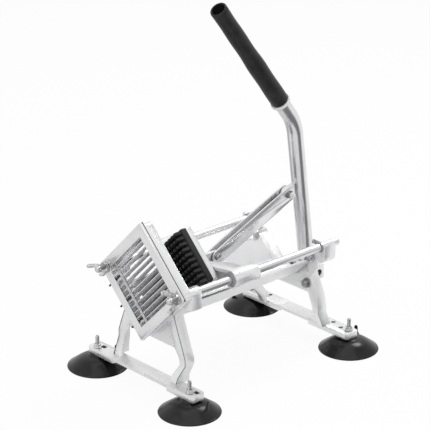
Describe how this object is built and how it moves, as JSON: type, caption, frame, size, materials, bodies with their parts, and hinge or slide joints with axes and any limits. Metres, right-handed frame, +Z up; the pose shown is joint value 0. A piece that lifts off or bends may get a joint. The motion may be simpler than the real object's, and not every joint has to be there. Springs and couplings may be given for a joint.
{
  "type": "manual vegetable slicer",
  "caption": "Lever-operated table-top vegetable slicer: a pegged pusher block slides on two rods towards a square frame of parallel blades.",
  "frame": {"origin": "table level, midway between the four suction cups", "axes": "+Z up; the blade frame faces -Y and the lever pivots at the +Y end; the slicer is symmetric in X but for its small fittings"},
  "size_m": [0.2604, 0.3508, 0.4711],
  "materials": {
    "cast_aluminium": "satin, as cast and tumbled",
    "polished_steel": "polished",
    "chrome_tube": "bright",
    "zinc_plate": "bright zinc plate",
    "black_oxide": "black oxide",
    "blade_steel": "bright",
    "black_plastic": "moulded",
    "black_rubber": "moulded"
  },
  "bodies": {
    "machine": {"front_frame": "cast_aluminium", "rear_frame": "cast_aluminium", "feed_trough": "cast_aluminium", "blade_frame": "cast_aluminium", "pivot_bracket": "cast_aluminium", "guide_rod_near": "polished_steel", "guide_rod_far": "polished_steel", "foot_stud_front_near": "zinc_plate", "foot_stud_front_far": "zinc_plate", "foot_stud_rear_near": "zinc_plate", "foot_stud_rear_far": "zinc_plate", "foot_nut_front_near": "zinc_plate", "foot_nut_front_far": "zinc_plate", "foot_nut_rear_near": "zinc_plate", "foot_nut_rear_far": "zinc_plate", "suction_cup_front_near": "black_rubber", "suction_cup_front_far": "black_rubber", "suction_cup_rear_near": "black_rubber", "suction_cup_rear_far": "black_rubber", "wing_nut_washer_near": "zinc_plate", "wing_nut_washer_far": "zinc_plate", "blade_tension_bar": "zinc_plate", "blade_01": "blade_steel", "blade_02": "blade_steel", "blade_03": "blade_steel", "blade_04": "blade_steel", "blade_05": "blade_steel", "blade_06": "blade_steel", "blade_07": "blade_steel", "blade_08": "blade_steel", "blade_09": "blade_steel", "blade_10": "blade_steel", "blade_11": "blade_steel", "tension_screw_1": "black_oxide", "tension_screw_2": "black_oxide", "tension_screw_3": "black_oxide", "lever_pivot_pin": "black_oxide", "bracket_bolt_near": "black_oxide", "bracket_bolt_far": "black_oxide", "trough_bolt_near": "black_oxide", "trough_bolt_far": "black_oxide", "rod_clamp_screw_near": "black_oxide", "rod_clamp_screw_far": "black_oxide"},
    "lever": {"lever_tube": "chrome_tube", "hand_grip": "black_rubber", "grip_collar": "zinc_plate", "link_rear_bolt": "black_oxide", "link_rear_nut": "zinc_plate"},
    "link": {"link_channel": "chrome_tube", "link_front_bolt_near": "zinc_plate", "link_front_bolt_far": "zinc_plate"},
    "carriage": {"pusher_carriage": "cast_aluminium", "pusher_block": "black_plastic", "pusher_screw_low": "black_oxide", "pusher_screw_high": "black_oxide", "sleeve_bush_near": "black_plastic", "sleeve_bush_far": "black_plastic"},
    "wing_nut_near": {"wing_nut_near": "zinc_plate"},
    "wing_nut_far": {"wing_nut_far": "zinc_plate"}
  },
  "joints": [
    {"name": "lever_swing", "type": "hinge", "parent": "machine", "child": "lever", "pos_m": [0, 0.145, 0.084], "axis": [1, 0, 0], "range_deg": [-46, 22]},
    {"name": "link_pivot", "type": "hinge", "parent": "lever", "child": "link", "pos_m": [0, 0.1095, 0.197], "axis": [1, 0, 0], "range_deg": [-22.5, 46.5]},
    {"name": "carriage_slide", "type": "slide", "parent": "machine", "child": "carriage", "axis": [0, -1, 0], "range_m": [-0.092, 0.044]},
    {"name": "wing_nut_near_turn", "type": "hinge", "parent": "machine", "child": "wing_nut_near", "pos_m": [0.067, -0.1395, 0.1436], "axis": [0, -1, 0], "continuous": true},
    {"name": "wing_nut_far_turn", "type": "hinge", "parent": "machine", "child": "wing_nut_far", "pos_m": [-0.067, -0.1395, 0.1436], "axis": [0, -1, 0], "continuous": true}
  ],
  "couplings": [
    {"joint": "link_pivot", "follows": "lever_swing", "ratio": -1},
    {"joint": "carriage_slide", "follows": "lever_swing", "m_per_rad": 0.114}
  ]
}
